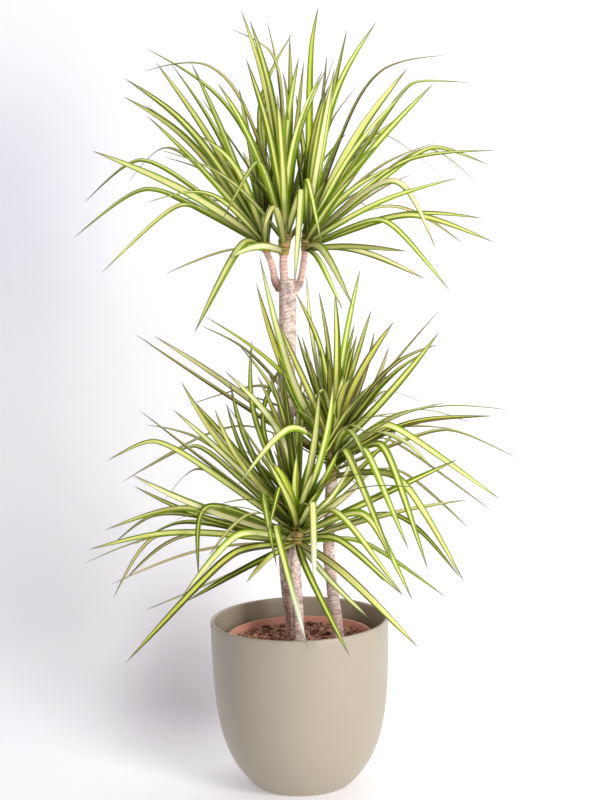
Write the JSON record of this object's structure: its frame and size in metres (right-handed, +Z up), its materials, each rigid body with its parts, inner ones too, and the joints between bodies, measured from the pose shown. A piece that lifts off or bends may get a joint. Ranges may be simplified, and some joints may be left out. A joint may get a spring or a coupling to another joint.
{
  "type": "potted dracaena",
  "caption": "Dracaena with striped, narrow leaves on bare canes of different heights, in a plastic nursery pot of soil inside a round ceramic cover pot.",
  "frame": {"origin": "centre of the cover pot's flat underside", "axes": "+Z up along the pot's axis, -Y toward the side the picture shows, +X to its right"},
  "size_m": [0.6984, 0.5264, 1.209],
  "materials": {
    "cover_pot": "satin glaze, sage grey",
    "nursery_pot": "matte terracotta",
    "soil": "rough, chunky bark mix",
    "bark": "pale pink-tan bark with fine ring scars",
    "leaf": "satin, green edges with a cream-yellow band"
  },
  "bodies": {
    "root": {"cover_pot": "cover_pot", "nursery_pot": "nursery_pot", "soil": "soil", "tall_cane": "bark", "front_cane": "bark", "right_cane": "bark", "left_head_leaves": "leaf", "middle_head_leaves": "leaf", "right_head_leaves": "leaf", "front_cane_leaves": "leaf", "right_cane_leaves": "leaf"}
  },
  "joints": []
}
